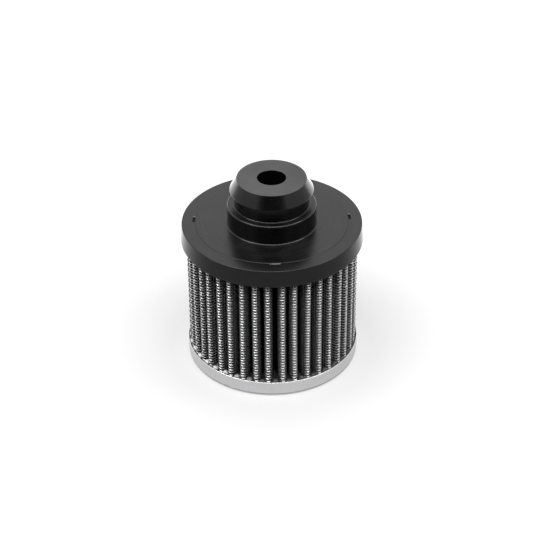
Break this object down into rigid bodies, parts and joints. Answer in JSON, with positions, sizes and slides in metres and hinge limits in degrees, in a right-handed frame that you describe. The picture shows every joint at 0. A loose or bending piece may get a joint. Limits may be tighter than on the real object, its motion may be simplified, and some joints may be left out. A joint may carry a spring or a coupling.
{
  "type": "crankcase breather filter",
  "caption": "Round pleated wire and gauze breather filter, with a grooved push-in stem on its moulded rubber cap and a drawn metal cap at its foot.",
  "frame": {"origin": "centre of the flat foot of the metal cap", "axes": "+Z along the axis of the filter, from the metal cap to the tip of the push-in stem; -Y towards the picture's view"},
  "size_m": [0.0772, 0.0772, 0.0861],
  "materials": {
    "black_urethane": "semi-gloss moulded",
    "screen_wire": "bright drawn wire",
    "dark_gauze": "oiled cotton",
    "grey_compound": "cast, dull",
    "bright_steel": "bright plated, satin"
  },
  "bodies": {
    "root": {"end_cap_moulding": "black_urethane", "outer_screen": "screen_wire", "cotton_gauze": "dark_gauze", "inner_screen": "screen_wire", "potting_compound": "grey_compound", "metal_end_cap": "bright_steel"}
  },
  "joints": []
}
